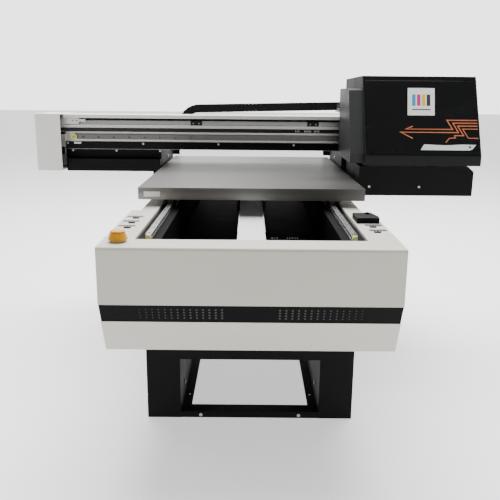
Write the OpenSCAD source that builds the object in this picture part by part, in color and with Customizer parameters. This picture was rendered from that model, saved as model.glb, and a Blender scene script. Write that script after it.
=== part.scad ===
// Flatbed UV printer: a floor machine with a moving bed that runs front to
// back under a fixed gantry, and a print carriage that runs left and right on the gantry.
// Millimetres, +Z up, +X right, -Y is the operator's side.
// The origin is on the floor, under the middle of the machine.

/* [Pedestal] */
// Width across the two legs
pedestal_w = 616; // [560:2:640]
// Height of the legs, up to the cabinet's bottom plate
pedestal_h = 341; // [341:1:341]
// Width of one leg
leg_w = 100; // [80:1:110]
// Front face of the legs, measured forward from the origin
pedestal_front = 450; // [430:1:470]
// Rear face of the legs, measured back from the origin
pedestal_rear = 550; // [520:1:580]

/* [Cabinet] */
// Width of the cabinet at its front end
body_w = 714; // [710:1:720]
// Width of the cabinet behind the front end
rear_body_w = 660; // [650:1:664]
// Height of the cabinet's top above the floor
body_top = 615; // [615:1:615]
// Front face of the cabinet, measured forward from the origin
body_front = 798; // [795:1:805]
// Rear face of the cabinet, measured back from the origin
body_rear = 800; // [798:1:810]
// Height at which the front face starts to slope back, the top of the black band
kink_z = 477; // [470:1:480]
// Height of the lower edge of the black band
band_z = 428; // [424:1:432]
// Thickness of the cover sheets
sheet = 2; // [1.5:0.5:2]

/* [Bed] */
// Width of the bed
bed_w = 700; // [680:1:704]
// Length of the bed
bed_l = 1000; // [980:1:1004]
// Thickness of the bed
bed_t = 37; // [37:1:37]
// Front edge of the bed at rest, measured forward from the origin
bed_front = 260; // [255:1:262]

/* [Gantry] */
// Height of the gantry beam's lower face
beam_z = 738; // [738:1:738]
// Front face of the linear rail on the beam, measured back from the origin
beam_y = 314; // [314:1:314]
// Left end of the beam
beam_left = -730; // [-735:1:-726]
// Right end of the beam
beam_right = 772; // [768:1:774]
// Distance between the bolts of every linear rail
bolt_pitch = 60; // [60:1:60]

/* [Carriage] */
// Left side of the carriage housing at rest
carriage_left = 384; // [382:1:386]
// Right side of the carriage housing at rest
carriage_right = 779; // [777:1:783]
// Height of the carriage housing's top
carriage_top = 1019; // [1010:1:1024]
// Height of the carriage housing's lower edge
carriage_bottom = 722; // [720:1:724]

/* [Cable chain] */
// Height of one chain link
link_h = 32; // [30:1:32]
// Width of one chain link
link_w = 46; // [40:1:46]
// Bend radius of the chain, at the middle of its links
bend_r = 68; // [66:1:68]
// Distance between two link pins
link_pitch = 30; // [28:1:32]

/* [Hidden] */

$fn = 48;
clear = 0.3;
half_body = body_w / 2;
half_rear = rear_body_w / 2;
half_ped = pedestal_w / 2;
leg_in = half_ped - leg_w;
body_bottom = pedestal_h;
slope_back = 61;
low_front = body_front - slope_back;
ledge_in = 281;
seam_back = 20;
opening_front = 712;
step_y = -327;
rail_x = 251;
rail_in = 222;
rail_out = 280;
rail_foot = 608;
rail_top = 623;
rail_front = -690;
rail_rear = 780;
bed_top = 636 + bed_t;
bed_y0 = -bed_front;
bed_y1 = bed_l - bed_front;
knob_x = -316;
knob_y = -738;
button_left_x = -323;
button_right_x = 322;
x_rail_z = 786;
seat_y = beam_y + 17.5;
beam_back = 444;
belt_z = 813;
pulley_y = 338;
pulley_r = 15;
chain_y = 452;
loop_x = -217;
low_run_z = 742;
loop_z = low_run_z + link_h / 2 + bend_r;
chain_arm_top = 918;
station_top = 714;
support_in = 360;
left_support_out = 395;
right_support_out = 455;
screw_z = 540;

// A box between two opposite corners
module span(a, b) {
    translate(a) cube(b - a);
}

// A side outline, given as [y, z] points, run from one x to another
module run_x(x0, x1) {
    translate([x0, 0, 0]) rotate([90, 0, 90]) linear_extrude(x1 - x0) children();
}

// A front outline, given as [x, z] points, run from one y to another
module run_y(y0, y1) {
    translate([0, y1, 0]) rotate([90, 0, 0]) linear_extrude(y1 - y0) children();
}

// The same shape on the left and on the right
module both_sides() {
    children();
    mirror([1, 0, 0]) children();
}

// A round bar along X, Y or Z that starts at a point
module rod_x(p, r, len) {
    translate(p) rotate([0, 90, 0]) cylinder(r = r, h = len);
}
module rod_y(p, r, len) {
    translate(p) rotate([-90, 0, 0]) cylinder(r = r, h = len);
}
module rod_z(p, r, len) {
    translate(p) cylinder(r = r, h = len);
}

// ---------------------------------------------------------------- pedestal
module leg_shape() {
    wall = 4;
    flange = 26;
    difference() {
        span([leg_in, -pedestal_front, 0], [half_ped, pedestal_rear, pedestal_h]);
        span([leg_in + wall, wall - pedestal_front, wall],
            [half_ped - wall, pedestal_rear - wall, pedestal_h + 1]);
    }
    difference() {
        span([leg_in - flange, 50 - pedestal_front, 0], [leg_in, pedestal_rear - 62, 5]);
        for (y = [-300, 300]) rod_z([leg_in - 13, y, -1], 6, 8);
    }
}
module left_leg() { color("#17171a") mirror([1, 0, 0]) leg_shape(); }
module right_leg() { color("#17171a") leg_shape(); }
module pedestal_crossbars() {
    color("#17171a") for (y = [-pedestal_front, pedestal_rear - 60]) {
        difference() {
            span([-leg_in, y, 190], [leg_in, y + 60, pedestal_h]);
            span([-leg_in - 1, y + 4, 194], [leg_in + 1, y + 56, pedestal_h - 4]);
        }
        span([-leg_in, y + 1, 0], [leg_in, y + 47, 20]);
    }
}

// Button-head screws: a low head with a hexagon socket, its axis along -Y or X
module head_y(x, y, z, r = 5) {
    difference() {
        rod_y([x, y - 3, z], r, 3);
        translate([x, y - 4, z]) rotate([-90, 0, 0]) cylinder(r = r * 0.5, h = 3, $fn = 6);
    }
}
module cover_screws() {
    color("silver") {
        for (x = [-148, 148]) head_y(x, 1 - pedestal_front, 10);
        both_sides() for (y = [-338, 430]) rod_x([leg_in - 4, y, 65], 7, 4);
        for (i = [0 : 3]) head_y(-738 + 295 * i + 18, 318, 760, 4);
        for (i = [0 : 2]) head_y(-710 + 173 * i, 350, 730, 4);
        both_sides() rod_x([357, 560, 690], 6, 3);
        for (x = [413, 588]) head_y(x, 20, 642, 4);
    }
}

// ----------------------------------------------------------------- cabinet
module base_plate() {
    color("#1b1b1d") {
        span([-half_rear + 3, step_y, body_bottom], [half_rear - 3, body_rear - 3, body_bottom + 4]);
        span([-half_body + 4, 3 - low_front, body_bottom], [half_body - 4, step_y, body_bottom + 4]);
    }
}
module chassis() {
    color("#202124") {
        for (y = [-700, -150, 330, 740]) {
            span([-rail_out, y, 430], [rail_out, y + 50, 480]);
            both_sides() span([rail_in, y, body_bottom + 4], [rail_out, y + 50, 430]);
        }
        // Outriggers that carry the gantry supports
        for (y = [390, 650]) {
            span([rail_out, y, 540], [right_support_out, y + 60, 600]);
            span([-left_support_out, y, 540], [-rail_out, y + 60, 600]);
        }
        // Blocks under the screw's bearings
        for (y = [-690, 700]) span([-32, y, 480], [32, y + 28, 515]);
    }
}
module rail_beams() {
    color("#202124") both_sides() difference() {
        span([rail_in, -700, 480], [rail_out, 790, rail_foot]);
        span([rail_in + 5, -701, 485], [rail_out - 5, 791, rail_foot - 8]);
    }
}
module well_floor() {
    color("#141416") difference() {
        span([-221.5, -655, 500], [221.5, 640, 503]);
        span([-41, -700, 499], [41, -640, 504]);
    }
}
module centre_cover() {
    color("gainsboro") {
        span([-38, -510, 583], [38, 790, 585]);
        both_sides() span([36, -510, 585], [38, 790, 591]);
        both_sides() span([36, -510, 568], [38, 790, 583]);
        run_x(-38, 38) polygon([[-510, 585], [-510, 583], [-698, 575], [-700, 577]]);
        span([-38, 788, 480], [38, 790, 583]);
        span([-38, -700, 480], [38, -698, 577]);
    }
}
module front_cover() {
    r = 8;
    color("whitesmoke") {
        run_x(-half_body, half_body) difference() {
            union() {
                translate([-body_front, kink_z]) square([sheet, body_top - kink_z - r]);
                translate([r - body_front, body_top - sheet]) square([seam_back - r, sheet]);
                intersection() {
                    translate([r - body_front, body_top - r]) circle(r);
                    translate([-body_front, body_top - r]) square(r);
                }
            }
            translate([r - body_front, body_top - r]) circle(r - sheet);
        }
        span([-ledge_in, seam_back - body_front, body_top - sheet], [ledge_in, -opening_front, body_top]);
        span([-ledge_in, -opening_front - sheet, 560], [ledge_in, -opening_front, body_top - sheet]);
        // Fold behind the front face that the band hooks under
        span([-half_body + 4, sheet - body_front, kink_z], [half_body - 4, 14 - body_front, kink_z + sheet]);
    }
}

// Y of the sloping lower front at a height
function slope_y(z) = -body_front + slope_back * (kink_z - z) / (kink_z - body_bottom);

module dot_band() {
    color("#141416") run_x(-half_body + 1, half_body - 1)
        polygon([[slope_y(kink_z) + 1, kink_z], [slope_y(kink_z) + 4, kink_z],
            [slope_y(band_z) + 4, band_z], [slope_y(band_z) + 1, band_z]]);
}
module lower_front_panel() {
    color("whitesmoke") {
        run_x(-half_body, half_body)
            polygon([[slope_y(band_z), band_z], [slope_y(band_z) + 3, band_z],
                [slope_y(body_bottom) + 3, body_bottom], [slope_y(body_bottom), body_bottom]]);
    }
}

// The side of the cabinet's wide front end, with the step in to the narrower rear
module nose_cover_shape() {
    color("whitesmoke") {
        run_x(half_body - sheet, half_body) polygon([[4 - body_front, body_top - 9],
            [4 - body_front, kink_z + 3], [slope_y(body_bottom) + 4, body_bottom + 1],
            [step_y, body_bottom + 1], [step_y, body_top - sheet], [12 - body_front, body_top - sheet]]);
        span([half_rear, step_y - sheet, body_bottom + 5],
            [half_body - sheet, step_y, body_top - sheet]);
    }
}
module nose_covers() { both_sides() nose_cover_shape(); }

// Top plate of one control ledge, with a fold down into the opening
module control_panel_shape() {
    span([ledge_in, seam_back - body_front, body_top - sheet], [half_body, step_y, body_top]);
    span([ledge_in, -opening_front, 560], [ledge_in + sheet, step_y, body_top - sheet]);
}
module left_control_panel() {
    color("whitesmoke") difference() {
        mirror([1, 0, 0]) control_panel_shape();
        rod_z([knob_x, knob_y, 600], 11, 30);
        for (y = [-455, -521, -585]) button_hole(button_left_x, y);
    }
}
module right_control_panel() {
    color("whitesmoke") difference() {
        control_panel_shape();
        for (y = [-551, -615]) button_hole(button_right_x, y);
    }
}
button_l = 17;
button_d = 8;
module button_hole(x, y) {
    span([x - button_l / 2 - clear, y - button_d / 2 - clear, 600],
        [x + button_l / 2 + clear, y + button_d / 2 + clear, 630]);
}
module side_covers() {
    color("whitesmoke") both_sides() difference() {
        union() {
            span([half_rear - sheet, step_y, body_bottom + 1], [half_rear, body_rear - sheet, body_top]);
            span([ledge_in, step_y, body_top - sheet], [half_rear - sheet, body_rear - sheet, body_top]);
            span([ledge_in, step_y, 560], [ledge_in + sheet, 386, body_top - sheet]);
        }
        for (y = [390, 650]) span([300, y - 1, 539], [340, y + 61, 601]);
    }
}
module rear_cover() {
    color("whitesmoke") difference() {
        union() {
            span([-half_rear, body_rear - sheet, body_bottom + 1], [half_rear, body_rear, body_top]);
            span([-ledge_in, 792, body_top - 12], [ledge_in, body_rear - sheet, body_top - 10]);
        }
        for (i = [0 : 13]) span([60 + 14 * i, 790, 380], [66 + 14 * i, 810, 460]);
        span([-195, 790, 385], [-145, 810, 415]);
        span([-ledge_in, 790, body_top - 8], [ledge_in, 810, body_top + 1]);
    }
}
module power_inlet() {
    color("#1a1a1a") difference() {
        union() {
            span([-200, body_rear, 380], [-140, body_rear + 4, 420]);
            span([-194.5, body_rear - 24, 385.5], [-145.5, body_rear, 414.5]);
        }
        span([-184, body_rear - 16, 389], [-156, body_rear + 5, 411]);
    }
}
module power_supplies() {
    color("silver") for (x = [-190, 30]) span([x, 420, 350], [x + 160, 640, 410]);
}

// ---------------------------------------------------------------- controls
module stop_collar() {
    color("#c8a23a") translate([knob_x, knob_y, body_top]) difference() {
        cylinder(r = 20, h = 5);
        translate([0, 0, -1]) cylinder(r = 8.2, h = 8);
    }
}
module stop_knob() {
    color("#e8a92a") translate([knob_x, knob_y, 0]) {
        rod_z([0, 0, body_top - 14], 8, 27);
        rotate_extrude() polygon([[0, 628], [20.8, 628], [21.3, 621], [23, 621], [23, 623],
            [17, 640.5], [15, 642], [0, 642]]);
    }
}
module push_button(x, y) {
    color("#26282c") {
        span([x - button_l / 2, y - button_d / 2, 603], [x + button_l / 2, y + button_d / 2, 618]);
    }
}
module left_button_1() { push_button(button_left_x, -455); }
module left_button_2() { push_button(button_left_x, -521); }
module left_button_3() { push_button(button_left_x, -585); }
module right_button_1() { push_button(button_right_x, -551); }
module right_button_2() { push_button(button_right_x, -615); }
module switch_box() {
    color("#1b1b1e") difference() {
        linear_top() polygon([[287, -500], [349, -500], [351, -470], [340, -420], [287, -420]]);
        span([318, -446, 621], [334, -422, 640]);
    }
}
module linear_top() {
    translate([0, 0, body_top]) linear_extrude(15) children();
}
module toggle_lever() {
    color("#1b1b1e") {
        rod_x([319, -434, 625], 3, 14);
        span([322, -436, 625], [330, -432, 634.5]);
    }
}

// ------------------------------------------------------------- bed and its drive
module y_rails() {
    color("silver") both_sides() difference() {
        run_y(rail_front, rail_rear) translate([rail_x, 0]) polygon([[-7.5, rail_foot], [7.5, rail_foot],
            [7.5, 612], [5.5, 614.5], [5.5, 617], [7.5, 619.5], [7.5, rail_top], [-7.5, rail_top],
            [-7.5, 619.5], [-5.5, 617], [-5.5, 614.5], [-7.5, 612]]);
        for (y = [rail_front + 15 : bolt_pitch : rail_rear]) rod_z([rail_x, y, 617], 3.75, 10);
    }
}
module y_block_shape(y) {
    gap = clear;
    difference() {
        union() {
            span([rail_x - 23.5, y, 626], [rail_x + 23.5, y + 40, 636]);
            span([rail_x - 17, y - 6, 612.5], [rail_x + 17, y + 46, 636]);
        }
        span([rail_x - 7.5 - gap, y - 7, 600], [rail_x + 7.5 + gap, y + 47, rail_top + gap]);
    }
}
module y_blocks() {
    color("darkgray") both_sides() for (y = [-246, 310]) y_block_shape(y);
}
module y_screw() {
    color("silver") {
        rod_y([0, -660, screw_z], 10, 1358);
        rod_y([0, 698, screw_z], 6, 36);
        rod_y([0, -688, screw_z], 6, 28);
    }
}
module y_motor() {
    color("#26272b") {
        // Motor behind the screw, with its coupling, then the bearing housings
        difference() {
            span([-28, 731, 512], [28, 786, 568]);
            rod_y([0, 730, screw_z], 6.08, 10);
        }
        for (y = [-688, 702]) difference() {
            span([-30, y, 515], [30, y + 24, 566]);
            rod_y([0, y - 1, screw_z], 6.08, 26);
        }
    }
}
module y_nut_bracket() {
    arm_in = 44;
    color("#5a5d62") difference() {
        union() {
            both_sides() span([arm_in, 200, 516], [arm_in + 10, 280, 636]);
            span([-arm_in, 200, 516], [arm_in, 280, 562]);
        }
        rod_y([0, 190, screw_z], 10.08, 100);
    }
}
module bed_plate() {
    color("#b9b9b6") {
        span([-bed_w / 2, bed_y0, bed_top - 3], [bed_w / 2, bed_y1, bed_top]);
        span([-bed_w / 2, bed_y0, 637], [bed_w / 2, bed_y0 + 2, bed_top - 3]);
        span([-bed_w / 2, bed_y1 - 2, 637], [bed_w / 2, bed_y1, bed_top - 3]);
        both_sides() span([bed_w / 2 - 2, bed_y0 + 2, 637], [bed_w / 2, bed_y1 - 2, bed_top - 3]);
    }
}
module bed_core() {
    color("gray") span([-bed_w / 2 + 2, bed_y0 + 2, 636], [bed_w / 2 - 2, bed_y1 - 2, bed_top - 3]);
}
module rail_bumpers() {
    color("#c9cf6a") {
        both_sides() {
            rod_y([rail_x, rail_front - 10, 616], 6.5, 10);
            rod_y([rail_x, rail_rear, 616], 6.5, 10);
        }
        for (x = [-693, 763]) difference() {
            union() {
                rod_y([x, 305, x_rail_z], 12, 22.5);
                rod_y([x, 327.5, x_rail_z], 10, seat_y - 327.5);
            }
            rod_y([x, 304, x_rail_z], 4, 8);
        }
    }
}

// ------------------------------------------------------------------ gantry
module gantry_support_shape(outer) {
    wall = 6;
    difference() {
        span([support_in, 357, 600], [outer, 750, beam_z]);
        span([support_in + wall, 357 + wall, 599], [outer - wall, 750 - wall, beam_z - 8]);
    }
    span([330, 750, 680], [outer, 756, beam_z - 3]);
}
module gantry_supports() {
    color("#161618") {
        gantry_support_shape(right_support_out);
        mirror([1, 0, 0]) gantry_support_shape(left_support_out);
    }
}
module beam() {
    color("#c4c6c8") run_x(beam_left, beam_right) difference() {
        polygon([[322, beam_z], [322, 767], [328, 767.5], [328, 775], [seat_y, 775],
            [seat_y, 797], [328, 797], [328, 805], [362, 805], [362, 821], [318, 821], [318, 833],
            [324, 835], [324, 848], [332, 848], [332, 858], [beam_back, 858], [beam_back, beam_z]]);
        translate([370, 750]) square([64, 98]);
    }
}
module beam_lower_cover() {
    color("#141416") span([beam_left, 318, beam_z + 1], [beam_right, 322, 767]);
}
module beam_top_cover() {
    color("whitesmoke") {
        span([beam_left, 306, 868], [beam_right, beam_back, 871]);
        span([beam_left, 306, 858], [beam_right, 309, 868]);
        span([beam_left, 340, 858], [beam_right, beam_back, 868]);
    }
}
module x_rail() {
    color("#8f9194") difference() {
        run_x(-680, 748) polygon([[seat_y, 776], [seat_y, 796], [325, 796], [323, 793], [320, 793],
            [318, 796], [beam_y, 796], [beam_y, 776], [318, 776], [320, 779], [323, 779], [325, 776]]);
        for (x = [-657 : bolt_pitch : 740]) rod_y([x, beam_y - 1, x_rail_z], 4.75, 9);
    }
}
belt_left = -777;
belt_right = 758;
module belt_outline(r) {
    translate([belt_left, pulley_y]) circle(r);
    translate([belt_right, pulley_y]) circle(r);
    translate([belt_left, pulley_y - r]) square([belt_right - belt_left, 2 * r]);
}
module x_belt() {
    color("#1a1a1a") translate([0, 0, belt_z - 5]) linear_extrude(10) difference() {
        belt_outline(pulley_r + 1.6);
        belt_outline(pulley_r + 0.05);
    }
}
module toothed_pulley(x) {
    translate([x, pulley_y, 0]) difference() {
        union() {
            rod_z([0, 0, belt_z - 6], pulley_r, 12);
            rod_z([0, 0, belt_z - 7], pulley_r + 1.5, 1.2);
            rod_z([0, 0, belt_z + 5.8], pulley_r + 1.5, 1.2);
        }
        rod_z([0, 0, belt_z - 10], 4.05, 20);
    }
}
module x_drive_pulley() { color("lightgray") toothed_pulley(belt_left); }
module x_idler_pulley() { color("lightgray") toothed_pulley(belt_right); }
module x_motor() {
    color("#26272b") {
        rod_z([belt_left, pulley_y, 795], 4, 26);
        span([belt_left - 28, pulley_y - 28, 715], [belt_left + 28, pulley_y + 28, 795]);
        span([beam_left - 10, pulley_y - 28, 795], [beam_left, pulley_y + 28, 801]);
        span([belt_left - 28, pulley_y - 28, 795], [beam_left - 19, pulley_y + 28, 801]);
        rod_z([belt_right, pulley_y, 805], 4, 16);
    }
}
module encoder_strip() {
    color("#8b8d90") span([-700, 322.8, 837], [740, 324, 847]);
    color("#161618") {
        for (clip = [[-238, -194, 850], [216, 260, 850], [-724, -672, 857]]) {
            span([clip[0], 312, 832], [clip[1], 317.7, clip[2]]);
            span([clip[0], 317.7, 836], [clip[1], 322.8, clip[2]]);
        }
    }
}
module left_end_cap() {
    color("whitesmoke") difference() {
        span([-825, 260, 660], [beam_left, 448, 874]);
        span([-822, 263, 663], [beam_left + 1, 445, 871]);
    }
}
module left_box() {
    wall = 2;
    color("#151517") {
        span([-729, 320, 652], [-360, 322, 700]);
        span([-729, 322, 698], [-360, 352, 700]);
        span([-729, 350, 700], [-360, 352, beam_z - 1]);
        span([-729, 322, 652], [-461, 598, 654]);
        span([-461, 322, 652], [-360, 352, 654]);
        span([-729, 598, 652], [-461, 600, beam_z - 1]);
        span([-729, 322, 654], [-727, 598, beam_z - 1]);
        span([-463, 352, 654], [-461, 598, beam_z - 1]);
        span([-362, 322, 654], [-360, 352, 698]);
    }
}
module ink_tanks() {
    for (i = [0 : 5]) color(["cyan", "magenta", "yellow", "#222222", "white", "lightgray"][i])
        span([-705 + 40 * i, 400, 656], [-669 + 40 * i, 580, 728]);
}

// -------------------------------------------------------- capping station
module station_housing() {
    color("#151517") {
        difference() {
            run_y(20, 345) polygon([[376, 611], [774, 611], [776, 613], [776, 696], [756, station_top],
                [376, station_top]]);
            run_y(23, 342) polygon([[379, 614], [773, 614], [773, 695], [755, station_top - 3],
                [379, station_top - 3]]);
            span([425, 50, station_top - 20], [745, 265, station_top + 2]);
        }
        // Hangers up to the beam
        for (x = [430, 700]) span([x, 344, 640], [x + 40, 350, beam_z]);
    }
}
module station_cap() {
    color("#2b2d31") {
        span([470, 90, 644], [700, 235, 650]);
        for (x = [486, 561, 636]) difference() {
            span([x, 100, 650], [x + 46, 200, 667]);
            span([x + 4, 104, 656], [x + 42, 196, 668]);
        }
        // Wiper blade and the lift's post
        span([480, 215, 650], [690, 218, 668]);
        rod_z([590, 155, 616], 6, 28);
    }
}

// ------------------------------------------------------------- cable chain
module chain_duct() {
    outer = chain_y + link_w + 6;
    floor_z = beam_z + 0.2;
    color("#1b1b1e") {
        span([-800, 449, floor_z], [beam_left, outer, 740]);
        span([beam_left, beam_back, floor_z], [310, outer, 740]);
        span([-800, outer - 2, 740], [310, outer, 790]);
        span([-205, beam_back, 788], [310, outer - 2, 790]);
        span([308, beam_back, 740], [310, outer - 2, 788]);
    }
}
// One link: two side plates joined by a crossbar on each long edge
module chain_link() {
    span([-link_pitch / 2 + 1, 0, -link_h / 2], [link_pitch / 2 + 2, 4, link_h / 2]);
    span([-link_pitch / 2 + 1, link_w - 4, -link_h / 2], [link_pitch / 2 + 2, link_w, link_h / 2]);
    span([-link_pitch / 2 + 5, 0, link_h / 2 - 4], [link_pitch / 2 - 5, link_w, link_h / 2]);
    span([-link_pitch / 2 + 5, 0, -link_h / 2], [link_pitch / 2 - 5, link_w, 4 - link_h / 2]);
    span([-link_pitch / 2 - 2, 4, -link_h / 2 + 5], [link_pitch / 2, 8, link_h / 2 - 5]);
    span([-link_pitch / 2 - 2, link_w - 8, -link_h / 2 + 5], [link_pitch / 2, link_w - 4, link_h / 2 - 5]);
}
up_run_len = 570;
module chain_upper_run() {
    rise = atan(14 / up_run_len);
    color("#1b1b1e") translate([loop_x + 10, chain_y, loop_z + bend_r]) rotate([0, -rise, 0])
        for (i = [0 : 18]) translate([(i + 0.5) * link_pitch, 0, 0]) chain_link();
}
// Bend of the chain: a hollow half ring with a gap in its straps between every two links
module chain_bend() {
    strap = 4;
    gap = 2.4;
    tail = 9;
    outer_r = bend_r + link_h / 2;
    inner_r = bend_r - link_h / 2;
    difference() {
        union() {
            difference() {
                rod_y([loop_x, chain_y, loop_z], outer_r, link_w);
                span([loop_x, chain_y - 1, loop_z - outer_r - 1],
                    [loop_x + outer_r + 1, chain_y + link_w + 1, loop_z + outer_r + 1]);
            }
            span([loop_x, chain_y, loop_z + inner_r], [loop_x + tail, chain_y + link_w, loop_z + outer_r]);
        }
        rod_y([loop_x, chain_y - 1, loop_z], inner_r, link_w + 2);
        difference() {
            rod_y([loop_x, chain_y + strap, loop_z], outer_r - strap, link_w - 2 * strap);
            rod_y([loop_x, chain_y + strap, loop_z], inner_r + strap, link_w - 2 * strap);
            span([loop_x, chain_y, loop_z - outer_r],
                [loop_x + outer_r, chain_y + link_w, loop_z + outer_r]);
        }
        span([loop_x - 1, chain_y + strap, loop_z + inner_r + strap],
            [loop_x + tail + 1, chain_y + link_w - strap, loop_z + outer_r - strap]);
        for (i = [1 : 7]) translate([loop_x, 0, loop_z]) rotate([0, -22.5 * i, 0]) {
            span([-gap / 2, chain_y - 1, outer_r - strap - 1], [gap / 2, chain_y + link_w + 1, outer_r + 1]);
            span([-gap / 2, chain_y - 1, inner_r - 1], [gap / 2, chain_y + link_w + 1, inner_r + strap + 1]);
        }
    }
}
module chain_loop() {
    color("#1b1b1e") {
        chain_bend();
        for (i = [0 : 16]) translate([loop_x + (i + 0.5) * link_pitch, chain_y, low_run_z + link_h / 2])
            chain_link();
    }
}

// ---------------------------------------------------------------- carriage
module carriage_plate() {
    color("#4a4c50") difference() {
        union() {
            span([420, 289, 745], [760, 300, 875]);
            span([400, 289, 875], [760, 300, 1000]);
            // Bearing blocks that ride on the rail
            for (x = [440, 650]) span([x, 300, 768], [x + 75, 327, 804]);
            // Clamp that grips the belt, and the reader for the encoder strip
            span([575, 300, 808.5], [605, 320.9, 817.5]);
            span([610, 300, 836], [640, 311, 850]);
            // Arm over the beam that carries the cable chain
            span([400, 300, 885], [410, chain_y, chain_arm_top]);
            span([345, chain_y - 6, 885], [400, chain_y, chain_arm_top]);
            span([345, chain_y, 885], [carriage_left - 2, chain_y + link_w, 888]);
        }
        span([430, beam_y - clear, 776 - clear], [740, 335, 796 + clear]);
    }
}

// Side outline of the housing: sloping front, flat top, open below the beam line
module housing_outline(inset) {
    polygon([[-33 + inset, carriage_bottom - inset], [-33 + inset, 755],
        [95 + inset, carriage_top - inset], [480 - inset, carriage_top - 4 - inset],
        [480 - inset, 882], [292 - inset, 882], [292 - inset, carriage_bottom - inset]]);
}
module carriage_housing() {
    color("#121214") {
        // Two side walls, the left one with a slot for the chain arm
        difference() {
            run_x(carriage_left, carriage_left + 3) housing_outline(0);
            span([carriage_left - 1, chain_y - 6.5, 884], [carriage_left + 4, chain_y + 0.5, chain_arm_top + 1]);
        }
        run_x(carriage_right - 3, carriage_right) housing_outline(0);
        // Roof and back
        run_x(carriage_left + 3, carriage_right - 3) polygon([[95, carriage_top], [480, carriage_top - 4],
            [480, 882], [477, 882], [477, carriage_top - 7], [95, carriage_top - 3]]);
    }
}
module carriage_front_cover() {
    color("#121214") {
        run_x(carriage_left + 3, carriage_right - 3) polygon([[-33, carriage_bottom],
            [-30, carriage_bottom], [-30, 755], [96.5, carriage_top - 3.2],
            [95, carriage_top - 3.2], [93.4, carriage_top - 3.2], [-33, 755]]);
        span([carriage_left + 3, -30, carriage_bottom], [carriage_right - 3, -24, carriage_bottom + 3]);
    }
}
module lamp_pod() {
    color("#17171a") run_x(carriage_left - 48, carriage_left) polygon([[-15, 728], [-15, 760], [78, 970],
        [88, 976], [296, 976], [300, 972], [300, 882], [286, 876], [286, 728]]);
}
module head_plate() {
    color("silver") {
        span([470, 60, 729], [720, 250, 735]);
        span([520, 250, 729], [680, 256, 930]);
        rod_z([600, 272, 760], 8, 200);
    }
}
module print_heads() {
    for (x = [490, 565, 640]) {
        color("#2f6fb0") span([x, 105, 735], [x + 38, 195, 830]);
        color("silver") span([x, 105, 727], [x + 38, 195, 729]);
    }
}

left_leg();
right_leg();
pedestal_crossbars();
cover_screws();
base_plate();
chassis();
rail_beams();
well_floor();
centre_cover();
front_cover();
dot_band();
lower_front_panel();
nose_covers();
left_control_panel();
right_control_panel();
side_covers();
rear_cover();
power_inlet();
power_supplies();
stop_collar();
stop_knob();
left_button_1();
left_button_2();
left_button_3();
right_button_1();
right_button_2();
switch_box();
toggle_lever();
y_rails();
y_blocks();
y_screw();
y_motor();
y_nut_bracket();
bed_plate();
bed_core();
rail_bumpers();
gantry_supports();
beam();
beam_lower_cover();
beam_top_cover();
x_rail();
x_belt();
x_drive_pulley();
x_idler_pulley();
x_motor();
encoder_strip();
left_end_cap();
left_box();
ink_tanks();
station_housing();
station_cap();
chain_duct();
chain_upper_run();
chain_loop();
carriage_plate();
carriage_housing();
carriage_front_cover();
lamp_pod();
head_plate();
print_heads();
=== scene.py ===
"""Looks of a flatbed UV printer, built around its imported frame."""

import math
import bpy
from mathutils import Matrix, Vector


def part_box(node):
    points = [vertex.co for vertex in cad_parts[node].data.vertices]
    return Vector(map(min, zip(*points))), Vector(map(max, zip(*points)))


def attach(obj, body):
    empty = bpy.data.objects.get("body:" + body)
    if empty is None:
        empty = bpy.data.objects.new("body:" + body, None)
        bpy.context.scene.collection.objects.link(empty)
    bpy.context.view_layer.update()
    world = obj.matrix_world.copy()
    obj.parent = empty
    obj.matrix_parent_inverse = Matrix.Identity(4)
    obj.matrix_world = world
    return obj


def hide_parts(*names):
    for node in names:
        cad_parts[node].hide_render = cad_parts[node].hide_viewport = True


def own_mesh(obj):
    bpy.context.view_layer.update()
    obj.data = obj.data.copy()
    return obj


bl_info = {
    "name": "Flatbed UV printer",
    "version": (1, 0, 0),
    "blender": (4, 5, 0),
    "location": "View3D > Sidebar > UV Printer",
    "description": "Finishes, trim and stage of a flatbed UV printer",
    "category": "Object",
}

import bmesh
import bpy
from bpy.props import FloatProperty, FloatVectorProperty, IntProperty, PointerProperty
from bpy.types import Operator, Panel, PropertyGroup
from mathutils import Matrix, Vector

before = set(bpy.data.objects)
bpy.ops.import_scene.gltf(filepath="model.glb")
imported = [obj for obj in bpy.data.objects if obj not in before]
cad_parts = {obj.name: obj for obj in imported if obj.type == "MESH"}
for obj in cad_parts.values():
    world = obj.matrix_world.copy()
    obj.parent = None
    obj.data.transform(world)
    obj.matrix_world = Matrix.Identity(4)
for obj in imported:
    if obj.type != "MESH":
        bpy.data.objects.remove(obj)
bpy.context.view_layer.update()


# ------------------------------------------------------------------ user's sizes and colours
def colour_prop(name, text, default):
    """A colour that the user may change."""
    return FloatVectorProperty(
        name=name, description=text, default=default, subtype="COLOR", size=3, min=0.0, max=1.0
    )


def length_prop(name, text, default):
    """A length that the user may change."""
    return FloatProperty(name=name, description=text, default=default, unit="LENGTH", min=0.0)


class PrinterSizes(PropertyGroup):
    """Sizes of the trim that the frame doesn't hold."""

    dot_pitch: length_prop("Dot pitch", "Distance between two columns of band dots", 0.0149)
    dot_row_pitch: length_prop("Dot row pitch", "Distance between two rows of band dots", 0.0088)
    dot_radius: length_prop("Dot radius", "Radius of the largest band dot", 0.0027)
    dot_columns: IntProperty(
        name="Dot columns", description="Columns of dots on each side", default=14, min=1
    )
    dot_gap: length_prop("Dot gap", "Distance from the middle of the band to its first dots", 0.068)
    link_pitch: length_prop("Link pitch", "Distance between two pins of the cable chain", 0.015)
    stripe_width: length_prop("Stripe width", "Width of the orange stripes", 0.0036)
    edge_round: length_prop("Edge round", "Radius of the folded sheet edges", 0.0012)


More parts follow.
